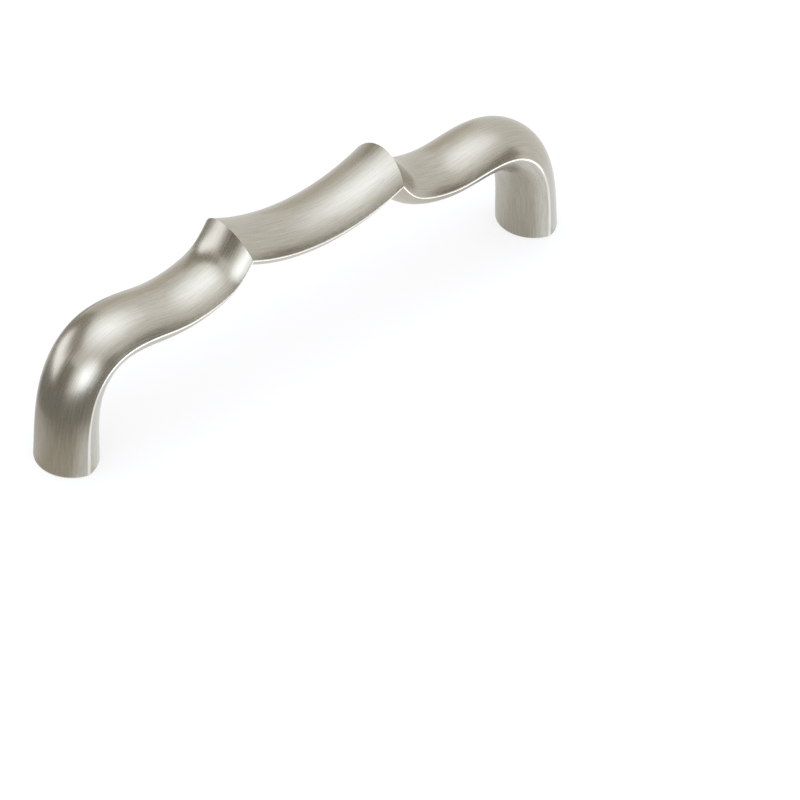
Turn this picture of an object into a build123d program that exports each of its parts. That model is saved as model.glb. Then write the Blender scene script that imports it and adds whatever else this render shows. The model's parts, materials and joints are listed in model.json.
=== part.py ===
"""Bar pull cast in one piece: two legs bend into wavy arms that meet a sagging middle at two peaked corners.

Millimetres, +Z up. The origin lies on the mounting face, midway between the two screw holes.
X runs along the row of holes, and the front of the pull looks towards -Y.
"""
import os
from math import cos, radians, sin, tan
from build123d import *

# mounting
hole_spacing = 96.0      # screw hole to screw hole
bore_diameter = 3.3      # tapping size of the screw thread
rim_diameter = 5.0       # mouth of the countersink
rim_angle = 90.0         # full angle of the countersink
bore_depth = 11.0        # straight part, from the mounting face
drill_angle = 118.0      # full angle of the point that the drill leaves
# lens section: two arcs that meet in a crease at the front and at the back
bar_width = 12.5         # crease to crease, before the creases are rounded
crease_radius = 0.4
foot_edge = 0.2          # broken edge round the mounting face
# crease line of one arm: how far in from the screw hole, and how high
knee = (0.7, 9.0)
elbow = (3.45, 16.8)
bend = (7.3, 20.1)
shoulder = (12.3, 21.0)
dip = (20.1, 20.35)
rise = (27.4, 21.75)
corner = (32.85, 26.7)
leg_lean = 4.4           # the leg leans inwards
rise_angle = 57.6        # climb of the arm where it meets the corner
# peaked corners, and the middle between them
corner_lean = 12.0       # lean of the plane in which arm and middle meet
middle_sag = 3.4         # drop of the middle below its two corners
# height of the outer and of the inner arc over the crease line, place by place
foot_heights = (5.0, 5.0)
knee_heights = (4.55, 4.75)
shoulder_heights = (3.7, 4.35)
dip_heights = (3.4, 4.1)
corner_heights = (3.85, 3.55)
middle_heights = (3.35, 3.75)


def direction(climb):
    """Direction along the pull that climbs by an angle from level."""
    return Vector(cos(radians(climb)), 0, sin(radians(climb)))


def on_left_arm(place):
    """Point of the left arm's crease line."""
    inwards, height = place
    return Vector(inwards - hole_spacing / 2, 0, height)


def section_plane(point, normal):
    """Plane across the bar, with its own x from the front crease to the back one."""
    return Plane(origin=point, x_dir=(0, 1, 0), z_dir=normal)


def lens(heights):
    """Draw the lens section with rounded creases in the open sketch."""
    outer, inner = heights
    half = bar_width / 2
    with BuildLine() as outline:
        ThreePointArc((-half, 0), (0, outer), (half, 0))
        ThreePointArc((half, 0), (0, -inner), (-half, 0))
    make_face(outline.edges())
    fillet(vertices(), crease_radius)


with BuildPart() as pull:
    # left arm: the lens follows the crease line up from the foot, and gets flatter on the way
    with BuildLine():
        crease_line = Spline(
            [on_left_arm(place) for place in ((0, 0), knee, elbow, bend, shoulder, dip, rise, corner)],
            tangents=(direction(90 - leg_lean), direction(rise_angle)),
        )
    with BuildSketch(section_plane(crease_line @ 0, direction(90))):
        lens(foot_heights)
    for place, heights in ((knee, knee_heights), (shoulder, shoulder_heights), (dip, dip_heights)):
        point = on_left_arm(place)
        with BuildSketch(section_plane(point, crease_line.tangent_at(point))):
            lens(heights)
    with BuildSketch(section_plane(crease_line @ 1, direction(corner_lean))):
        lens(corner_heights)
    sweep(multisection=True)
    # right arm
    mirror(about=Plane.YZ)
    # middle: it sags between the same leaning sections that end the arms
    left_end = on_left_arm(corner)
    with BuildLine():
        saddle = ThreePointArc(left_end, (0, 0, left_end.Z - middle_sag), (-left_end.X, 0, left_end.Z))
    for share, lean, heights in (
        (0.0, corner_lean, corner_heights),
        (0.5, 0.0, middle_heights),
        (1.0, -corner_lean, corner_heights),
    ):
        with BuildSketch(section_plane(saddle @ share, direction(lean))):
            lens(heights)
    sweep(multisection=True)
    # broken edge round both feet
    feet = pull.faces().filter_by_position(Axis.Z, -0.01, 0.01)
    chamfer(feet.edges(), foot_edge)
    # blind screw holes with a countersunk mouth
    rim_depth = (rim_diameter - bore_diameter) / 2 / tan(radians(rim_angle / 2))
    point_depth = bore_diameter / 2 / tan(radians(drill_angle / 2))
    for hole_x in (-hole_spacing / 2, hole_spacing / 2):
        with BuildSketch(Plane.XZ):
            with BuildLine():
                Polyline(
                    (hole_x, 0),
                    (hole_x + rim_diameter / 2, 0),
                    (hole_x + bore_diameter / 2, rim_depth),
                    (hole_x + bore_diameter / 2, bore_depth),
                    (hole_x, bore_depth + point_depth),
                    close=True,
                )
            make_face()
        revolve(axis=Axis((hole_x, 0, 0), (0, 0, 1)), mode=Mode.SUBTRACT)

pull.part.label = "pull_body"
os.makedirs("parts", exist_ok=True)
export_step(pull.part, "parts/pull_body.step")
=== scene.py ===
# %% [markdown]
# # A brushed nickel bar pull
# The pull is one zinc casting with a satin nickel plate that was brushed along its length.
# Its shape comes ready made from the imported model, so this lesson is about the finish:
# brush marks that follow the bent bar, ground feet, turned countersinks, tapped holes and studio light.

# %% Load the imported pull
import json
from math import cos, pi, radians, sin, tan

import bpy
import numpy as np
from mathutils import Matrix, Vector

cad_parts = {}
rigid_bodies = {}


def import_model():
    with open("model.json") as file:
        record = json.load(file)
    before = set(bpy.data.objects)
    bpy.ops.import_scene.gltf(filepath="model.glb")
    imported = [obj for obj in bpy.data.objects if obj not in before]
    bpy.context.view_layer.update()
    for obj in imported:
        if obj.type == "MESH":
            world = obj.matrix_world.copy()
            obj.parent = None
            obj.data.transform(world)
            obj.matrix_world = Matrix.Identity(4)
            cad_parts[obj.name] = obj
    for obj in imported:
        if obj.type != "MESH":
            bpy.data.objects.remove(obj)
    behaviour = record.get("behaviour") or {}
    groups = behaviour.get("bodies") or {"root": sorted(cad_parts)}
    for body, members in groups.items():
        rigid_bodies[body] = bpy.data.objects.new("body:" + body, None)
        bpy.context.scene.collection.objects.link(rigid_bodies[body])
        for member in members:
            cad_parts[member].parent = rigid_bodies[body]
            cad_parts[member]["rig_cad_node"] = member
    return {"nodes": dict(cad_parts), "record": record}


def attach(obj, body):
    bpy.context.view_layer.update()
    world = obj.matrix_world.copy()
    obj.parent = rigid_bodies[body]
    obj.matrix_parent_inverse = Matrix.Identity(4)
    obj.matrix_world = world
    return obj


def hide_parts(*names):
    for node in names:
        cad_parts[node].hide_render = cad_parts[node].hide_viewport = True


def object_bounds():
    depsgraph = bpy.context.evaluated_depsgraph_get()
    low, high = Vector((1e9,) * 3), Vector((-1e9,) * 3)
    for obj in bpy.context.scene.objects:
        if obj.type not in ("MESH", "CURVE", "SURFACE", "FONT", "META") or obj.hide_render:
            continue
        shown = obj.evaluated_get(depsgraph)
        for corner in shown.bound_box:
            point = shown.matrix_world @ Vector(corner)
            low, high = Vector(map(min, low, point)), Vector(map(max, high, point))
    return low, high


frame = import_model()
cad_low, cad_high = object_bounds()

MM = 0.001
pull_node = frame["nodes"]["pull_body"]
print("packed pull, mm:", [round(side / MM, 1) for side in cad_high - cad_low])

# %% [markdown]
# ## A copy to dress
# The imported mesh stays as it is, so the finish goes on a copy that stands for it.
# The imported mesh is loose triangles. Merging its doubles makes it one skin, and the option that
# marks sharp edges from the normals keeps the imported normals, which make the bends look smooth.

# %% Copy the pull
bpy.ops.object.select_all(action="DESELECT")
pull_node.select_set(True)
bpy.context.view_layer.objects.active = pull_node
bpy.ops.object.duplicate()
pull = bpy.context.view_layer.objects.active
pull.name = "brushed_pull"
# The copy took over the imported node's mark, which it gives back, because it only stands for that node.
del pull["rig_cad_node"]
print("copied", pull_node.name, "as", pull.name)

# %% Merge the copy
merge_reach = 0.0005 * MM
bpy.ops.object.mode_set(mode="EDIT")
bpy.ops.mesh.select_all(action="SELECT")
bpy.ops.mesh.remove_doubles(threshold=merge_reach, use_sharp_edge_from_normals=True)
bpy.ops.object.mode_set(mode="OBJECT")
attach(pull, "root")
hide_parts("pull_body")
print(pull.name, "has", len(pull.data.polygons), "faces on", len(pull.data.vertices), "points")

# %% [markdown]
# ## A thread in the screw holes
# On the real pull each hole is drilled, countersunk and tapped for an M4 screw, but the imported solid has
# a plain bore. A bump would leave the mesh itself plain, so the thread is real: the bore's wall is taken
# out, drawn again ring by ring from the countersink's rim, and each ring is pushed out along a helix.

# %% Measure the bores
def from_hole(places):
    """Distance of each place from the axis of its nearer screw hole."""
    return np.hypot(abs(places[:, 0]) - hole_x, places[:, 1])


screw_holes = frame["record"]["mounts"][0]["dims"]
hole_x = screw_holes["spacing_x_mm"] / 2 * MM
bore_radius = screw_holes["hole_r_mm"] * MM
slack = 0.01 * MM
mesh = pull.data
points = np.array([v.co for v in mesh.vertices])
hole_points = points[(from_hole(points) < bore_radius + slack) & (points[:, 2] < cad_high.z / 2)]
on_wall = hole_points[from_hole(hole_points) > bore_radius - slack]
rim_height = on_wall[:, 2].min()
wall_height = on_wall[:, 2].max()
tip_height = hole_points[:, 2].max()
print("wall of a bore, mm:", round(rim_height / MM, 2), "to", round(wall_height / MM, 2))
print("drill point, mm:", round(tip_height / MM, 2))


# %% Take out the plain bores
def in_bore(places, radius, bottom):
    """Whether each place is that near to the axis of a hole, between a bottom and the drill point."""
    height = places[:, 2]
    return (from_hole(places) < radius) & (height > bottom) & (height < tip_height)


centre = np.array([face.center for face in mesh.polygons])
is_bore = in_bore(centre, bore_radius + slack, rim_height)
bpy.ops.object.mode_set(mode="EDIT")
bpy.ops.mesh.select_mode(type="FACE")
bpy.ops.mesh.select_all(action="DESELECT")
bpy.ops.object.mode_set(mode="OBJECT")
mesh.polygons.foreach_set("select", is_bore)
bpy.ops.object.mode_set(mode="EDIT")
bpy.ops.mesh.delete(type="FACE")
print("took out", is_bore.sum(), "faces")

# %% Draw the bores again in rings
thread_pitch = 0.7 * MM
rings_per_turn = 8
ring_count = round((wall_height - rim_height) / thread_pitch * rings_per_turn)
ring_step = (wall_height - rim_height) / ring_count
bpy.ops.mesh.select_mode(type="EDGE")
bpy.ops.mesh.select_non_manifold()
bpy.ops.mesh.mark_sharp()
for ring in range(ring_count):
    bpy.ops.mesh.extrude_edges_move(TRANSFORM_OT_translate={"value": (0, 0, ring_step)})
bpy.ops.mesh.edge_face_add()
bpy.ops.mesh.poke()
bpy.ops.mesh.select_all(action="SELECT")
bpy.ops.mesh.normals_make_consistent(inside=False)
bpy.ops.object.mode_set(mode="OBJECT")
print("each bore has", ring_count, "rings")

# %% Find the rings' points
points = np.array([v.co for v in mesh.vertices])
off_axis = from_hole(points)
in_hole = in_bore(points, bore_radius + slack, rim_height + slack)
is_tip = in_hole & (off_axis < slack)
is_wall = in_hole & ~is_tip
axis = np.stack([np.sign(points[:, 0]) * hole_x, 0 * points[:, 0]], axis=1)[is_wall]
spoke = (points[is_wall, :2] - axis) / off_axis[is_wall][:, None]
height = points[is_wall, 2]
print("points on the walls:", is_wall.sum())

# %% Push the rings out along a helix
thread_depth = 0.35 * MM
flat_share = 0.1        # of a tooth's height, cut off flat at its crest and at its root
mouth_fade = 0.3 * MM   # the thread starts within this from the countersink
tap_taper = 1.5 * MM    # a tap's tip leaves the last turns shallow
turns = (height - rim_height) / thread_pitch - np.arctan2(spoke[:, 1], spoke[:, 0]) / (2 * pi)
wave = abs(2 * (turns % 1) - 1)
tooth = ((wave - flat_share) / (1 - 2 * flat_share)).clip(0, 1)
fade = ((height - rim_height) / mouth_fade).clip(0, 1) * ((wall_height - height) / tap_taper).clip(0, 1)
thread_radius = bore_radius + thread_depth * tooth * fade
points[is_wall, :2] = axis + spoke * thread_radius[:, None]
points[is_tip, 2] = tip_height
mesh.vertices.foreach_set("co", points.astype(np.float32).ravel())
mesh.update()
print("thread, mm:", thread_pitch / MM, "pitch,", thread_depth / MM, "deep")

# %% [markdown]
# ## The crease line
# Brush marks run along the bar, so the finish needs to know where "along" is.
# The front crease is the line where the pull reaches furthest forward. It could be typed in again,
# but reading it from the mesh keeps it true to the model. The peaked corners split it into arm, middle
# and arm.

# %% Find the left corner
crease_band = 0.12 * MM
near_front = points[points[:, 1] < cad_low.y + crease_band]
left_front = near_front[near_front[:, 0] < 0]
left_half = points[points[:, 0] < 0]
corner = left_front[left_front[:, 2].argmax()]
peak = left_half[left_half[:, 2].argmax()]
print("left corner, mm:", (corner / MM).round(2), "its peak:", (peak / MM).round(2))


# %% Read the crease as two lines
def foremost_line(band, order, step):
    """Foremost point of each stretch of the crease, from first to last, as x and z."""
    places = np.floor(order / step).astype(int)
    line = []
    for place in np.unique(places):
        stretch = band[places == place]
        tip = stretch[stretch[:, 1] < stretch[:, 1].min() + slack]
        line.append(tip[:, [0, 2]].mean(axis=0))
    return np.array(line)


def drawn_out(line, length):
    """The same line with both ends carried on straight."""
    first = line[0] + (line[0] - line[1]) / np.linalg.norm(line[0] - line[1]) * length
    last = line[-1] + (line[-1] - line[-2]) / np.linalg.norm(line[-1] - line[-2]) * length
    return np.vstack([first, line, last])


crease_step = 2.5 * MM
end_run = 10 * MM
on_arm = left_front[left_front[:, 0] < corner[0]]
on_middle = near_front[abs(near_front[:, 0]) < abs(corner[0])]
arm_line = drawn_out(foremost_line(on_arm, on_arm[:, 0] + on_arm[:, 2], crease_step), end_run)
middle_line = drawn_out(foremost_line(on_middle, on_middle[:, 0], crease_step), end_run)
print("crease points:", len(arm_line), "on an arm,", len(middle_line), "on the middle")


# %% [markdown]
# ## A brush path
# A UV map can hold any two numbers for each spot. Here the first is the way along the crease line and
# the second the way round the bar, both in millimetres, so a pattern on this map bends with the bar
# and keeps its real size. Each spot on the bar is measured at the nearest point of its line.
# Unwrapping would also give a map, but it cuts the skin into islands, and the marks would break there.

# %% Measure along a line
def along(line, places):
    """How far along a line each place lies, measured at the line's nearest point."""
    start, step = line[:-1], np.diff(line, axis=0)
    length = np.linalg.norm(step, axis=1)
    share = (((places[:, None] - start) * step).sum(axis=2) / length**2).clip(0, 1)
    gap = np.linalg.norm(start + share[..., None] * step - places[:, None], axis=2)
    best = gap.argmin(axis=1)
    run = length.cumsum() - length
    return run[best] + share[range(len(places)), best] * length[best]


for title, line in (("arm", arm_line), ("middle", middle_line)):
    print("line of the", title, "with its ends, mm:", (along(line, line[-1:]) / MM).round(1))

# %% Tell the arms from the middle
corner_of = np.array([loop.vertex_index for loop in mesh.loops])
face_of = np.repeat(range(len(mesh.polygons)), [face.loop_total for face in mesh.polygons])
centre = np.array([face.center for face in mesh.polygons])
ridge = np.array([peak[0] - corner[0], peak[2] - corner[2]])
folded = np.stack([-abs(centre[:, 0]), centre[:, 2]], axis=1) - corner[[0, 2]]
is_arm_face = folded[:, 0] * ridge[1] - folded[:, 1] * ridge[0] < 0
is_arm = is_arm_face[face_of]
print("faces on the arms:", is_arm_face.sum(), "of", len(is_arm_face))

# %% Lay the brush path over the pull
right_arm_start = 200 * MM   # far from the left arm's path, so that the two arms get different marks
lens_radius = 7.0 * MM       # about that of the bar's rounded top
spots = points[corner_of]
arm_spots = np.stack([-abs(spots[:, 0]), spots[:, 2]], axis=1)
path = np.where(is_arm, along(arm_line, arm_spots), along(middle_line, spots[:, [0, 2]]))
path += np.where(spots[:, 0] > 0, right_arm_start, 0) * is_arm
girth = lens_radius * np.arcsin(spots[:, 1] / lens_radius)
brush_map = mesh.uv_layers.new(name="brush_path", do_init=False)
brush_map.uv.foreach_set("vector", np.stack([path, girth], axis=1).astype(np.float32).ravel() / MM)
print("brush path, mm:", (path.min() / MM).round(1), "to", (path.max() / MM).round(1))


# %% [markdown]
# ## Helpers for materials
# Colours are easiest to pick as sRGB hex values, but shaders work with linear light, so one function
# turns the first into the second. Another adds a node with its settings and links in one go.

# %% Colour, node and material helpers
def linear(hex_colour):
    """Linear colour of an sRGB hex value, by the sRGB standard's own numbers."""
    shares = [int(hex_colour[i:i + 2], 16) / 255 for i in (1, 3, 5)]
    return [s / 12.92 if s <= 0.04045 else ((s + 0.055) / 1.055) ** 2.4 for s in shares] + [1]


def add_node(tree, kind, inputs, **settings):
    """New node; an input that is a socket gets linked, and any other value is set."""
    made = tree.nodes.new(kind)
    for name, value in settings.items():
        setattr(made, name, value)
    for name, value in inputs.items():
        if isinstance(value, bpy.types.NodeSocket):
            tree.links.new(value, made.inputs[name])
        else:
            made.inputs[name].default_value = value
    return made


def new_material(name):
    """Empty material and its node tree."""
    material = bpy.data.materials.new(name)
    material.use_nodes = True
    material.node_tree.nodes.clear()
    return material, material.node_tree


print("middle grey as linear light:", round(linear("#808080")[0], 3))

# %% [markdown]
# ## Brushed satin nickel
# Nickel plate is a warm, slightly yellow grey. The brush leaves fine lines along the bar, so
# highlights are soft and drawn out across the lines. Real lines are a few hundredths of a millimetre
# wide; they are drawn 0.25 mm wide here, because thinner ones wouldn't show in the picture.
# The wheel bears hardest on the two creases, so they are a little smoother, and their lighter colour is a
# painted highlight along each crease.
# An image of scratches could do this too, but noise stretched along the brush path has no seams.

# %% Brush marks
streak_length = 5.0   # mm, as the brush path is
streak_width = 0.25
streak_detail = 3.0
streak_sharpness = 0.6
nickel, tree = new_material("brushed_satin_nickel")
brush_path = add_node(tree, "ShaderNodeUVMap", {}, uv_map="brush_path").outputs["UV"]
stretched = add_node(
    tree, "ShaderNodeMapping",
    {"Vector": brush_path, "Scale": (1 / streak_length, 1 / streak_width, 1)},
).outputs["Vector"]
streaks = add_node(
    tree, "ShaderNodeTexNoise",
    {"Vector": stretched, "Scale": 1.0, "Detail": streak_detail, "Roughness": streak_sharpness},
    noise_dimensions="2D",
).outputs["Fac"]
print("brush marks:", streak_length, "mm long,", streak_width, "mm wide")

# %% Polished creases with a painted highlight
polish_start = 7.52   # mm from the top, round the bar
polish_full = 7.61
round_bar = add_node(tree, "ShaderNodeSeparateXYZ", {"Vector": brush_path}).outputs["Y"]
from_top = add_node(tree, "ShaderNodeMath", {0: round_bar}, operation="ABSOLUTE").outputs[0]
polish_and_highlight = add_node(
    tree, "ShaderNodeMapRange",
    {"Value": from_top, "From Min": polish_start, "From Max": polish_full},
    interpolation_type="SMOOTHSTEP",
).outputs["Result"]
print("creases polished from", polish_start, "mm off the top")

# %% Nickel colour
noise_range = (0.3, 0.7)   # most of the noise lies in this range
brushed_shades = ("#ADA89B", "#BBB6AA")
# Painted highlight: the lighter colour on the creases makes them show as bright lines.
polished_highlight_shade = "#DBD8CF"
ramp = add_node(tree, "ShaderNodeValToRGB", {"Fac": streaks})
for stop, position, shade in zip(ramp.color_ramp.elements, noise_range, brushed_shades):
    stop.position = position
    stop.color = linear(shade)
# The Mix node has sockets for numbers, vectors and colours: 6 and 7 are its colours, and output 2 their mix.
colour = add_node(
    tree, "ShaderNodeMix",
    {"Factor": polish_and_highlight, 6: ramp.outputs["Color"], 7: linear(polished_highlight_shade)},
    data_type="RGBA",
).outputs[2]
print("nickel:", brushed_shades, "and on the creases", polished_highlight_shade)

# %% Nickel roughness and grooves
brushed_range = (0.26, 0.3)
polished_roughness = 0.15
groove_strength = 0.05
groove_depth = 0.02 * MM
brushed_roughness = add_node(
    tree, "ShaderNodeMapRange",
    {
        "Value": streaks,
        "From Min": noise_range[0],
        "From Max": noise_range[1],
        "To Min": brushed_range[0],
        "To Max": brushed_range[1],
    },
).outputs["Result"]
roughness = add_node(
    tree, "ShaderNodeMapRange",
    {"Value": polish_and_highlight, "To Min": brushed_roughness, "To Max": polished_roughness},
).outputs["Result"]
grooves = add_node(
    tree, "ShaderNodeBump",
    {"Height": streaks, "Strength": groove_strength, "Distance": groove_depth},
).outputs["Normal"]
print("roughness:", brushed_range, "and on the creases", polished_roughness)

# %% Nickel shader
stretch = 0.4             # how far the marks draw a highlight out
across_the_marks = 0.25   # a quarter turn from the brush's way
brush_direction = add_node(
    tree, "ShaderNodeTangent", {}, direction_type="UV_MAP", uv_map="brush_path",
).outputs["Tangent"]
metal = add_node(
    tree, "ShaderNodeBsdfPrincipled",
    {
        "Base Color": colour,
        "Metallic": 1.0,
        "Roughness": roughness,
        "Anisotropic": stretch,
        "Anisotropic Rotation": across_the_marks,
        "Tangent": brush_direction,
        "Normal": grooves,
    },
).outputs["BSDF"]
add_node(tree, "ShaderNodeOutputMaterial", {"Surface": metal})
print(nickel.name, "has", len(tree.nodes), "nodes")


# %% [markdown]
# ## Ground feet, turned countersinks and tapped bores
# The feet are ground flat after plating, in straight fine lines. A drill leaves shiny rings in the
# countersinks, and the tapped bores show bare zinc, which is duller and bluer than the nickel; its dark
# shades are partly painted shade inside the holes.
# All three read Object coordinates, because their lines are straight or level rather than along the bar.
# They differ only in the size of their marks, their shades and their gloss, so one function makes them.

# %% Metal with straight or level marks
def marked_metal(name, mark_size, shades, roughness_range):
    """Metal with marks of a size along x, y and z, in millimetres."""
    material, tree = new_material(name)
    object_place = add_node(tree, "ShaderNodeTexCoord", {}).outputs["Object"]
    stretched = add_node(
        tree, "ShaderNodeMapping",
        {"Vector": object_place, "Scale": [1 / (side * MM) for side in mark_size]},
    ).outputs["Vector"]
    marks = add_node(
        tree, "ShaderNodeTexNoise",
        {"Vector": stretched, "Scale": 1.0, "Detail": mark_detail, "Roughness": streak_sharpness},
    ).outputs["Fac"]
    ramp = add_node(tree, "ShaderNodeValToRGB", {"Fac": marks})
    for stop, position, shade in zip(ramp.color_ramp.elements, noise_range, shades):
        stop.position = position
        stop.color = linear(shade)
    roughness = add_node(
        tree, "ShaderNodeMapRange",
        {
            "Value": marks,
            "From Min": noise_range[0],
            "From Max": noise_range[1],
            "To Min": roughness_range[0],
            "To Max": roughness_range[1],
        },
    ).outputs["Result"]
    grooves = add_node(
        tree, "ShaderNodeBump", {"Height": marks, "Strength": mark_strength, "Distance": groove_depth},
    ).outputs["Normal"]
    metal = add_node(
        tree, "ShaderNodeBsdfPrincipled",
        {"Base Color": ramp.outputs["Color"], "Metallic": 1.0, "Roughness": roughness, "Normal": grooves},
    ).outputs["BSDF"]
    add_node(tree, "ShaderNodeOutputMaterial", {"Surface": metal})
    return material


mark_detail = 2.0
mark_strength = 0.1
print("marks are as deep as", groove_depth / MM, "mm")

# %% Finishes of foot, countersink and bore
# Real scratches and rings are finer. They are drawn 0.1 to 0.2 mm wide, because finer ones wouldn't show.
# Nickel ground flat: pale, with straight scratches along the pull that blur what it mirrors.
foot_nickel = marked_metal(
    "ground_nickel_foot",
    mark_size=(6, 0.12, 6), shades=("#BDB9AD", "#D0CCC2"), roughness_range=(0.28, 0.38),
)
# Nickel cut by a drill: bright, with fine level rings that glint.
turned_nickel = marked_metal(
    "turned_nickel_countersink",
    mark_size=(1, 1, 0.1), shades=("#C6C2B7", "#DAD7CE"), roughness_range=(0.14, 0.24),
)
# Bare zinc cut by a tap: greyer and duller than the nickel, and darker as painted shade inside the hole, so
# the thread looks deep.
painted_shade_zinc = marked_metal(
    "tapped_zinc_bore_painted_shade",
    mark_size=(2, 2, 0.2), shades=("#84847F", "#9A9A96"), roughness_range=(0.35, 0.45),
)
print("made", foot_nickel.name, turned_nickel.name, "and", painted_shade_zinc.name)

# %% Give each face its finish
countersink_reach = 1.0 * MM
straight_down = -0.999
facing = np.array([face.normal for face in mesh.polygons])
is_foot = (facing[:, 2] < straight_down) & (centre[:, 2] < slack)
in_mouth = (from_hole(centre) < bore_radius + countersink_reach) & (centre[:, 2] < rim_height)
in_thread = in_bore(centre, bore_radius + thread_depth, rim_height)
mesh.polygons.foreach_set("use_smooth", ~in_thread)
mesh.materials.clear()
for material in (nickel, foot_nickel, turned_nickel, painted_shade_zinc):
    mesh.materials.append(material)
# The numbers are places in that list, and 0, the brushed nickel, is for all other faces.
finish = np.select([is_foot, in_mouth, in_thread], [1, 2, 3], 0).astype(np.int32)
mesh.polygons.foreach_set("material_index", finish)
print("faces by finish:", np.bincount(finish))

# %% [markdown]
# ## The camera
# A camera could be moved by hand until the view looks right, but outlines fit better when it is worked out
# from them: where the middle of the feet falls in the frame, how far the camera is, and how it is turned,
# tilted and rolled. The lens follows from the focal length in pixels, so the frame needs no shift.

# %% Camera
photo_width = 800
focal_px = 3207.8
origin_px = (306.2, 331.5)
camera_reach = 528.75 * MM
turn = radians(40.14)
tilt = radians(42.03)
roll = radians(1.225)

level = Vector((cos(turn), -sin(turn), 0))
ahead = Vector((sin(turn) * cos(tilt), cos(turn) * cos(tilt), -sin(tilt)))
upright = level.cross(ahead)
right = level * cos(roll) + upright * sin(roll)
up = upright * cos(roll) - level * sin(roll)
offset = [(pixel - photo_width / 2) / focal_px for pixel in origin_px]
place = -camera_reach * (right * offset[0] - up * offset[1] + ahead)
bpy.ops.object.camera_add(location=place)
camera = bpy.context.object
camera.matrix_world = Matrix.Translation(place) @ Matrix((right, up, -ahead)).transposed().to_4x4()
camera.data.lens = focal_px * camera.data.sensor_width / photo_width
bpy.context.scene.camera = camera
bpy.context.scene.view_settings.view_transform = "Standard"
print("camera at, mm:", [round(c / MM) for c in place], "lens", round(camera.data.lens, 1))

# %% [markdown]
# ## The white floor
# The pull stands on white paper that is lit until it is plain white. A lamp strong enough for that would
# burn out the metal, so the paper glows by itself for the camera and for reflections, and only part of it
# takes real light, which keeps a faint shadow. Seen from below it is clear, so that the feet can be seen.

# %% Floor
floor_side = 4.0
floor_drop = 0.02 * MM
bpy.ops.mesh.primitive_plane_add(size=floor_side, location=(0, 0, -floor_drop))
floor = bpy.context.object
floor.name = "floor"
print("floor", floor.dimensions.x, "m wide")

# %% White paper
# Matt paper: no gloss at all, and a shadow that is hardly darker than the paper.
shadow_share = 0.28
paper_white = "#F4F4F4"
paper, tree = new_material("white_paper")
rays = add_node(tree, "ShaderNodeLightPath", {}).outputs
mirrored = add_node(
    tree, "ShaderNodeMath",
    {0: rays["Is Glossy Ray"], 1: rays["Is Transmission Ray"]}, operation="MAXIMUM",
).outputs[0]
share = add_node(
    tree, "ShaderNodeMath",
    {0: rays["Is Camera Ray"], 1: 1 - shadow_share, 2: mirrored}, operation="MULTIPLY_ADD",
).outputs[0]
matt = add_node(tree, "ShaderNodeBsdfDiffuse", {"Color": linear(paper_white)}).outputs[0]
glow = add_node(tree, "ShaderNodeEmission", {"Strength": 1.0}).outputs[0]
lit_paper = add_node(tree, "ShaderNodeMixShader", {"Fac": share, 1: matt, 2: glow}).outputs[0]
below = add_node(tree, "ShaderNodeNewGeometry", {}).outputs["Backfacing"]
clear = add_node(tree, "ShaderNodeBsdfTransparent", {}).outputs[0]
one_sided = add_node(tree, "ShaderNodeMixShader", {"Fac": below, 1: lit_paper, 2: clear}).outputs[0]
add_node(tree, "ShaderNodeOutputMaterial", {"Surface": one_sided})
floor.data.materials.append(paper)
print(paper.name, "takes", shadow_share, "of its white from real light")

# %% [markdown]
# ## The white room
# The room around the pull is plain white, and it gives soft light from all sides. A picture of a studio
# could stand there instead, but then every highlight would be fixed by that picture.

# %% World
room_white = "#FFFFFF"
world = bpy.data.worlds.new("white_room")
bpy.context.scene.world = world
world.use_nodes = True
tree = world.node_tree
tree.nodes.clear()
walls = add_node(tree, "ShaderNodeBackground", {"Color": linear(room_white), "Strength": 1.0}).outputs[0]
add_node(tree, "ShaderNodeOutputWorld", {"Surface": walls})
print("room:", world.name)


# %% [markdown]
# ## Softboxes
# Metal shows its surroundings, so each highlight on the bar is a softbox. A lamp's spread makes it
# brightest in the middle and fade to its rim, which gives highlights without hard edges.
# A wide one hangs overhead, and smaller ones stand low at the front left and at the front right.

# %% A lamp that fades to its rim
def around(azimuth, elevation, distance):
    """Place in the studio; azimuth starts behind the pull and goes round by its right end."""
    a, e = radians(azimuth), radians(elevation)
    return Vector((sin(a) * cos(e), cos(a) * cos(e), sin(e))) * distance


def softbox(name, azimuth, elevation, half_angle, radiance):
    """Round lamp that faces the grip, and fades from its middle to nothing at the half angle."""
    place = around(azimuth, elevation, lamp_distance)
    to_grip = grip - place
    bpy.ops.object.light_add(type="AREA", location=place)
    lamp = bpy.context.object
    lamp.name = name
    lamp.rotation_euler = to_grip.to_track_quat("-Z", "Y").to_euler()
    lamp.data.shape = "DISK"
    lamp.data.size = 2 * lamp_margin * to_grip.length * tan(half_angle)
    lamp.data.spread = 2 * half_angle
    lamp_area = pi * lamp.data.size**2 / 4
    peak_gain = tan(half_angle) / (tan(half_angle) - half_angle)
    lamp.data.energy = radiance * pi * lamp_area / peak_gain
    lamp.data.color = linear(lamp_white)[:3]
    lamp.visible_camera = False
    return lamp


grip = Vector((0, 0, 20 * MM))
lamp_distance = 0.8
lamp_margin = 1.2   # a lamp is that much wider than its spread needs
lamp_white = "#DDEAFF"
print("softboxes face, mm:", [round(c / MM) for c in grip])

# %% Lamps
softboxes = [
    softbox("overhead", azimuth=0, elevation=90, half_angle=radians(44), radiance=1.67),
    softbox("key_left", azimuth=230, elevation=17, half_angle=radians(24), radiance=3.4),
    softbox("front_right", azimuth=160, elevation=5, half_angle=radians(15), radiance=3.5),
]
print("softboxes:", {lamp.name: round(lamp.data.size, 2) for lamp in softboxes}, "m wide")
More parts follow.
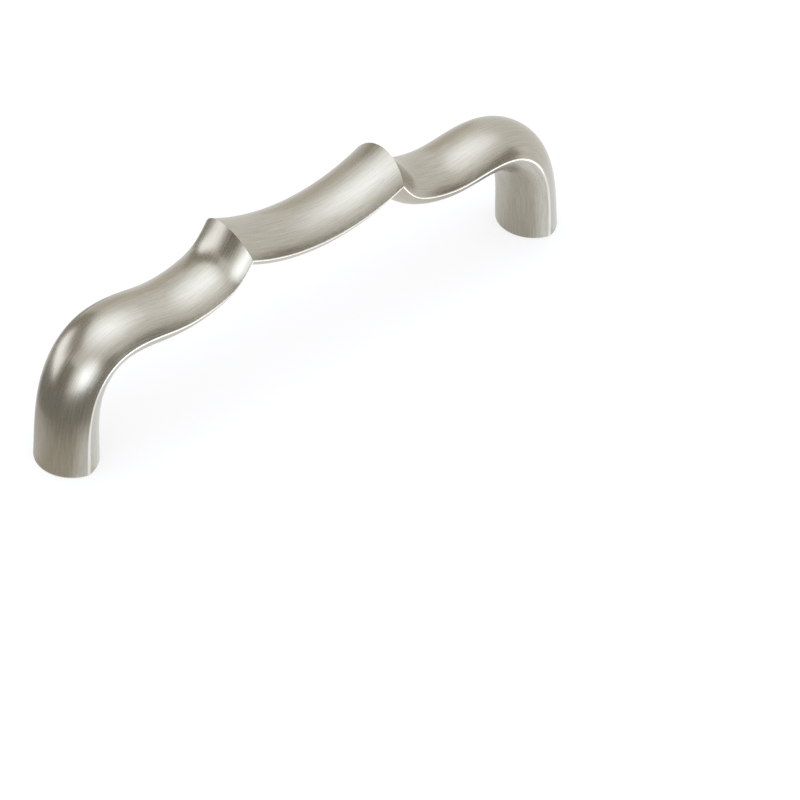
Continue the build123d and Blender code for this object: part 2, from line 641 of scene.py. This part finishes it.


# %% [markdown]
# ## Cards
# Without something dark around it, polished metal in a white room looks flat. Photographers stand
# dark cards between the lights, and lay them on the table, so that dark bands run along the edges.
# Bright cards do the opposite: they draw slim highlights where a lamp would be too large. Beside each foot
# lies a card with a painted shadow of the leg and a painted pool of light before the foot; the legs show the
# table close by as a slow change from light to dark.
# The cards are seen in reflections only, so they neither shade the pull nor show in the picture.

# %% Card helpers
def card(name, material, place, size, turned):
    """Card of a width and a height, turned from lying level."""
    bpy.ops.mesh.primitive_plane_add(size=1, location=place)
    sheet = bpy.context.object
    sheet.name = name
    sheet.scale = (size[0], size[1], 1)
    sheet.rotation_euler = turned
    bpy.ops.object.transform_apply(location=True, rotation=True, scale=True)
    sheet.data.materials.append(material)
    sheet.visible_camera = False
    sheet.visible_diffuse = False
    sheet.visible_shadow = False
    return sheet


def table_card(name, material, x_range, y_range, lift):
    """Card that lies a little above the table between two x and two y values, all in millimetres."""
    place = Vector((sum(x_range) / 2, sum(y_range) / 2, lift)) * MM
    size = ((x_range[1] - x_range[0]) * MM, (y_range[1] - y_range[0]) * MM)
    return card(name, material, place, size, turned=(0, 0, 0))


def standing_card(name, material, azimuth, elevation, size):
    """Card that stands in the studio and faces the grip; its size is in metres."""
    place = around(azimuth, elevation, card_distance)
    return card(name, material, place, size, turned=(grip - place).to_track_quat("Z", "Y").to_euler())


card_distance = 0.6
print("cards stand", card_distance, "m off")


# %% Even cards
def even_card(name, colour, strength=1.0):
    """Material of a card that is the same all over."""
    material, tree = new_material(name)
    glow = add_node(tree, "ShaderNodeEmission", {"Color": linear(colour), "Strength": strength}).outputs[0]
    add_node(tree, "ShaderNodeOutputMaterial", {"Surface": glow})
    return material


dark = even_card("dark_card", "#898376")
grey = even_card("grey_card", "#A9A398")
pale = even_card("pale_card", "#E2DED5")
cool = even_card("cool_white_card", "#F4F8FF", strength=1.21)
bright = even_card("bright_card", "#F2F5FF", strength=2.25)
print("even cards:", [material.name for material in (dark, grey, pale, cool, bright)])


# %% A painted pool of light before a foot
def share_off_light_pool(tree, way, reach):
    """How far each place at the left of a foot is off the painted pool of light before it, from 0 to 1."""
    sides = add_node(tree, "ShaderNodeSeparateXYZ", {"Vector": way}).outputs
    heading = add_node(
        tree, "ShaderNodeMath", {0: sides["X"], 1: sides["Y"]}, operation="ARCTAN2",
    ).outputs[0]
    past_front = add_node(
        tree, "ShaderNodeMapRange",
        {"Value": heading, "From Min": front_edge[0], "From Max": front_edge[1]},
        interpolation_type="SMOOTHSTEP",
    ).outputs["Result"]
    beside = add_node(
        tree, "ShaderNodeMapRange",
        {
            "Value": heading,
            "From Min": back_edge[0],
            "From Max": back_edge[1],
            "To Min": past_front,
            "To Max": back_share,
        },
        interpolation_type="SMOOTHSTEP",
    ).outputs["Result"]
    far_off = add_node(
        tree, "ShaderNodeMapRange",
        {"Value": reach, "From Min": light_pool_edge[0], "From Max": light_pool_edge[1]},
        interpolation_type="SMOOTHSTEP",
    ).outputs["Result"]
    return add_node(tree, "ShaderNodeMath", {0: beside, 1: far_off}, operation="MAXIMUM").outputs[0]


# The bright patch is a painted pool of light, and beside the foot the card shows a painted shadow of the
# leg.
# Headings start behind the foot, and are negative on its left: the front is at 180 degrees.
front_edge = (radians(-178), radians(-140))
back_edge = (radians(-95), radians(-50))
back_share = 0.7   # behind the foot the bright patch shows a little
light_pool_edge = (10 * MM, 26 * MM)
print("the bright patch ends, mm from the foot:", [round(edge / MM) for edge in light_pool_edge])


# %% Cards with a painted shadow beside a foot
def painted_shadow_card(name, foot, tint, light_pool_shade, near_shade, far_shade):
    """Material of a card with a painted pool of light before a foot, and elsewhere a painted shadow of the
    leg that fades with the way from the foot.
    """
    material, tree = new_material(name)
    card_place = add_node(tree, "ShaderNodeTexCoord", {}).outputs["Object"]
    way = add_node(
        tree, "ShaderNodeVectorMath", {0: card_place, 1: foot}, operation="SUBTRACT",
    ).outputs["Vector"]
    reach = add_node(tree, "ShaderNodeVectorMath", {0: way}, operation="LENGTH").outputs["Value"]
    off_patch = share_off_light_pool(tree, way, reach)
    fade = add_node(
        tree, "ShaderNodeMapRange",
        {
            "Value": reach,
            "From Min": fade_reach[0],
            "From Max": fade_reach[1],
            "To Min": near_shade,
            "To Max": far_shade,
        },
        interpolation_type="SMOOTHSTEP",
    ).outputs["Result"]
    shade = add_node(
        tree, "ShaderNodeMapRange", {"Value": off_patch, "To Min": light_pool_shade, "To Max": fade},
    ).outputs["Result"]
    colour = add_node(
        tree, "ShaderNodeMix",
        {"Factor": off_patch, 6: linear(front_tint), 7: linear(tint)}, data_type="RGBA",
    ).outputs[2]
    glow = add_node(tree, "ShaderNodeEmission", {"Color": colour, "Strength": shade}).outputs[0]
    add_node(tree, "ShaderNodeOutputMaterial", {"Surface": glow})
    return material


fade_reach = (6 * MM, 32 * MM)
front_tint = "#F1F6FF"
# Painted shadow: beside the left foot it fades to a dark table far off, and beside the right foot it fades
# to white.
shadow_to_dark = painted_shadow_card(
    "painted_shadow_card_to_dark", (-hole_x, 0, 0), "#FFFAEF", light_pool_shade=1.16, near_shade=0.58, far_shade=0.3,
)
shadow_to_white = painted_shadow_card(
    "painted_shadow_card_to_white", (hole_x, 0, 0), "#FDFDFA", light_pool_shade=1.35, near_shade=0.67, far_shade=1.04,
)
print("fading cards:", shadow_to_dark.name, "and", shadow_to_white.name)

# %% Lay cards on the table
foot_lift = 0.2
table_lift = 0.3
table_cards = [
    table_card("right_table_card", shadow_to_white, x_range=(16, 48), y_range=(-20, 32), lift=foot_lift),
    table_card("left_foot_card", cool, x_range=(-46, -28), y_range=(-16, 10), lift=foot_lift),
    table_card("right_foot_card", cool, x_range=(50, 80), y_range=(-16, 14), lift=foot_lift),
    table_card("front_table_card", shadow_to_dark, x_range=(-500, -48), y_range=(-500, -6), lift=table_lift),
    table_card("left_table_card", shadow_to_dark, x_range=(-560, -50), y_range=(-6, 300), lift=table_lift),
    table_card("bright_table_card", bright, x_range=(-36, 75), y_range=(-110, -20), lift=table_lift),
    table_card("back_table_card", grey, x_range=(-80, -5), y_range=(50, 560), lift=table_lift),
]
print("cards on the table:", len(table_cards))

# %% Stand cards round the pull
standing_cards = [
    standing_card("back_left_bright_card", bright, azimuth=325, elevation=9, size=(0.45, 0.25)),
    standing_card("back_wall_card", grey, azimuth=358, elevation=15, size=(0.21, 0.5)),
    standing_card("back_right_wall_card", pale, azimuth=24, elevation=14, size=(0.27, 0.4)),
    standing_card("front_wall_card", dark, azimuth=195, elevation=12, size=(0.32, 0.4)),
    standing_card("front_right_wall_card", dark, azimuth=150, elevation=20, size=(0.6, 0.26)),
    standing_card("left_wall_card", dark, azimuth=281, elevation=12, size=(0.4, 0.36)),
    standing_card("back_left_wall_card", grey, azimuth=320, elevation=40, size=(0.6, 0.25)),
]
print("standing cards:", len(standing_cards))
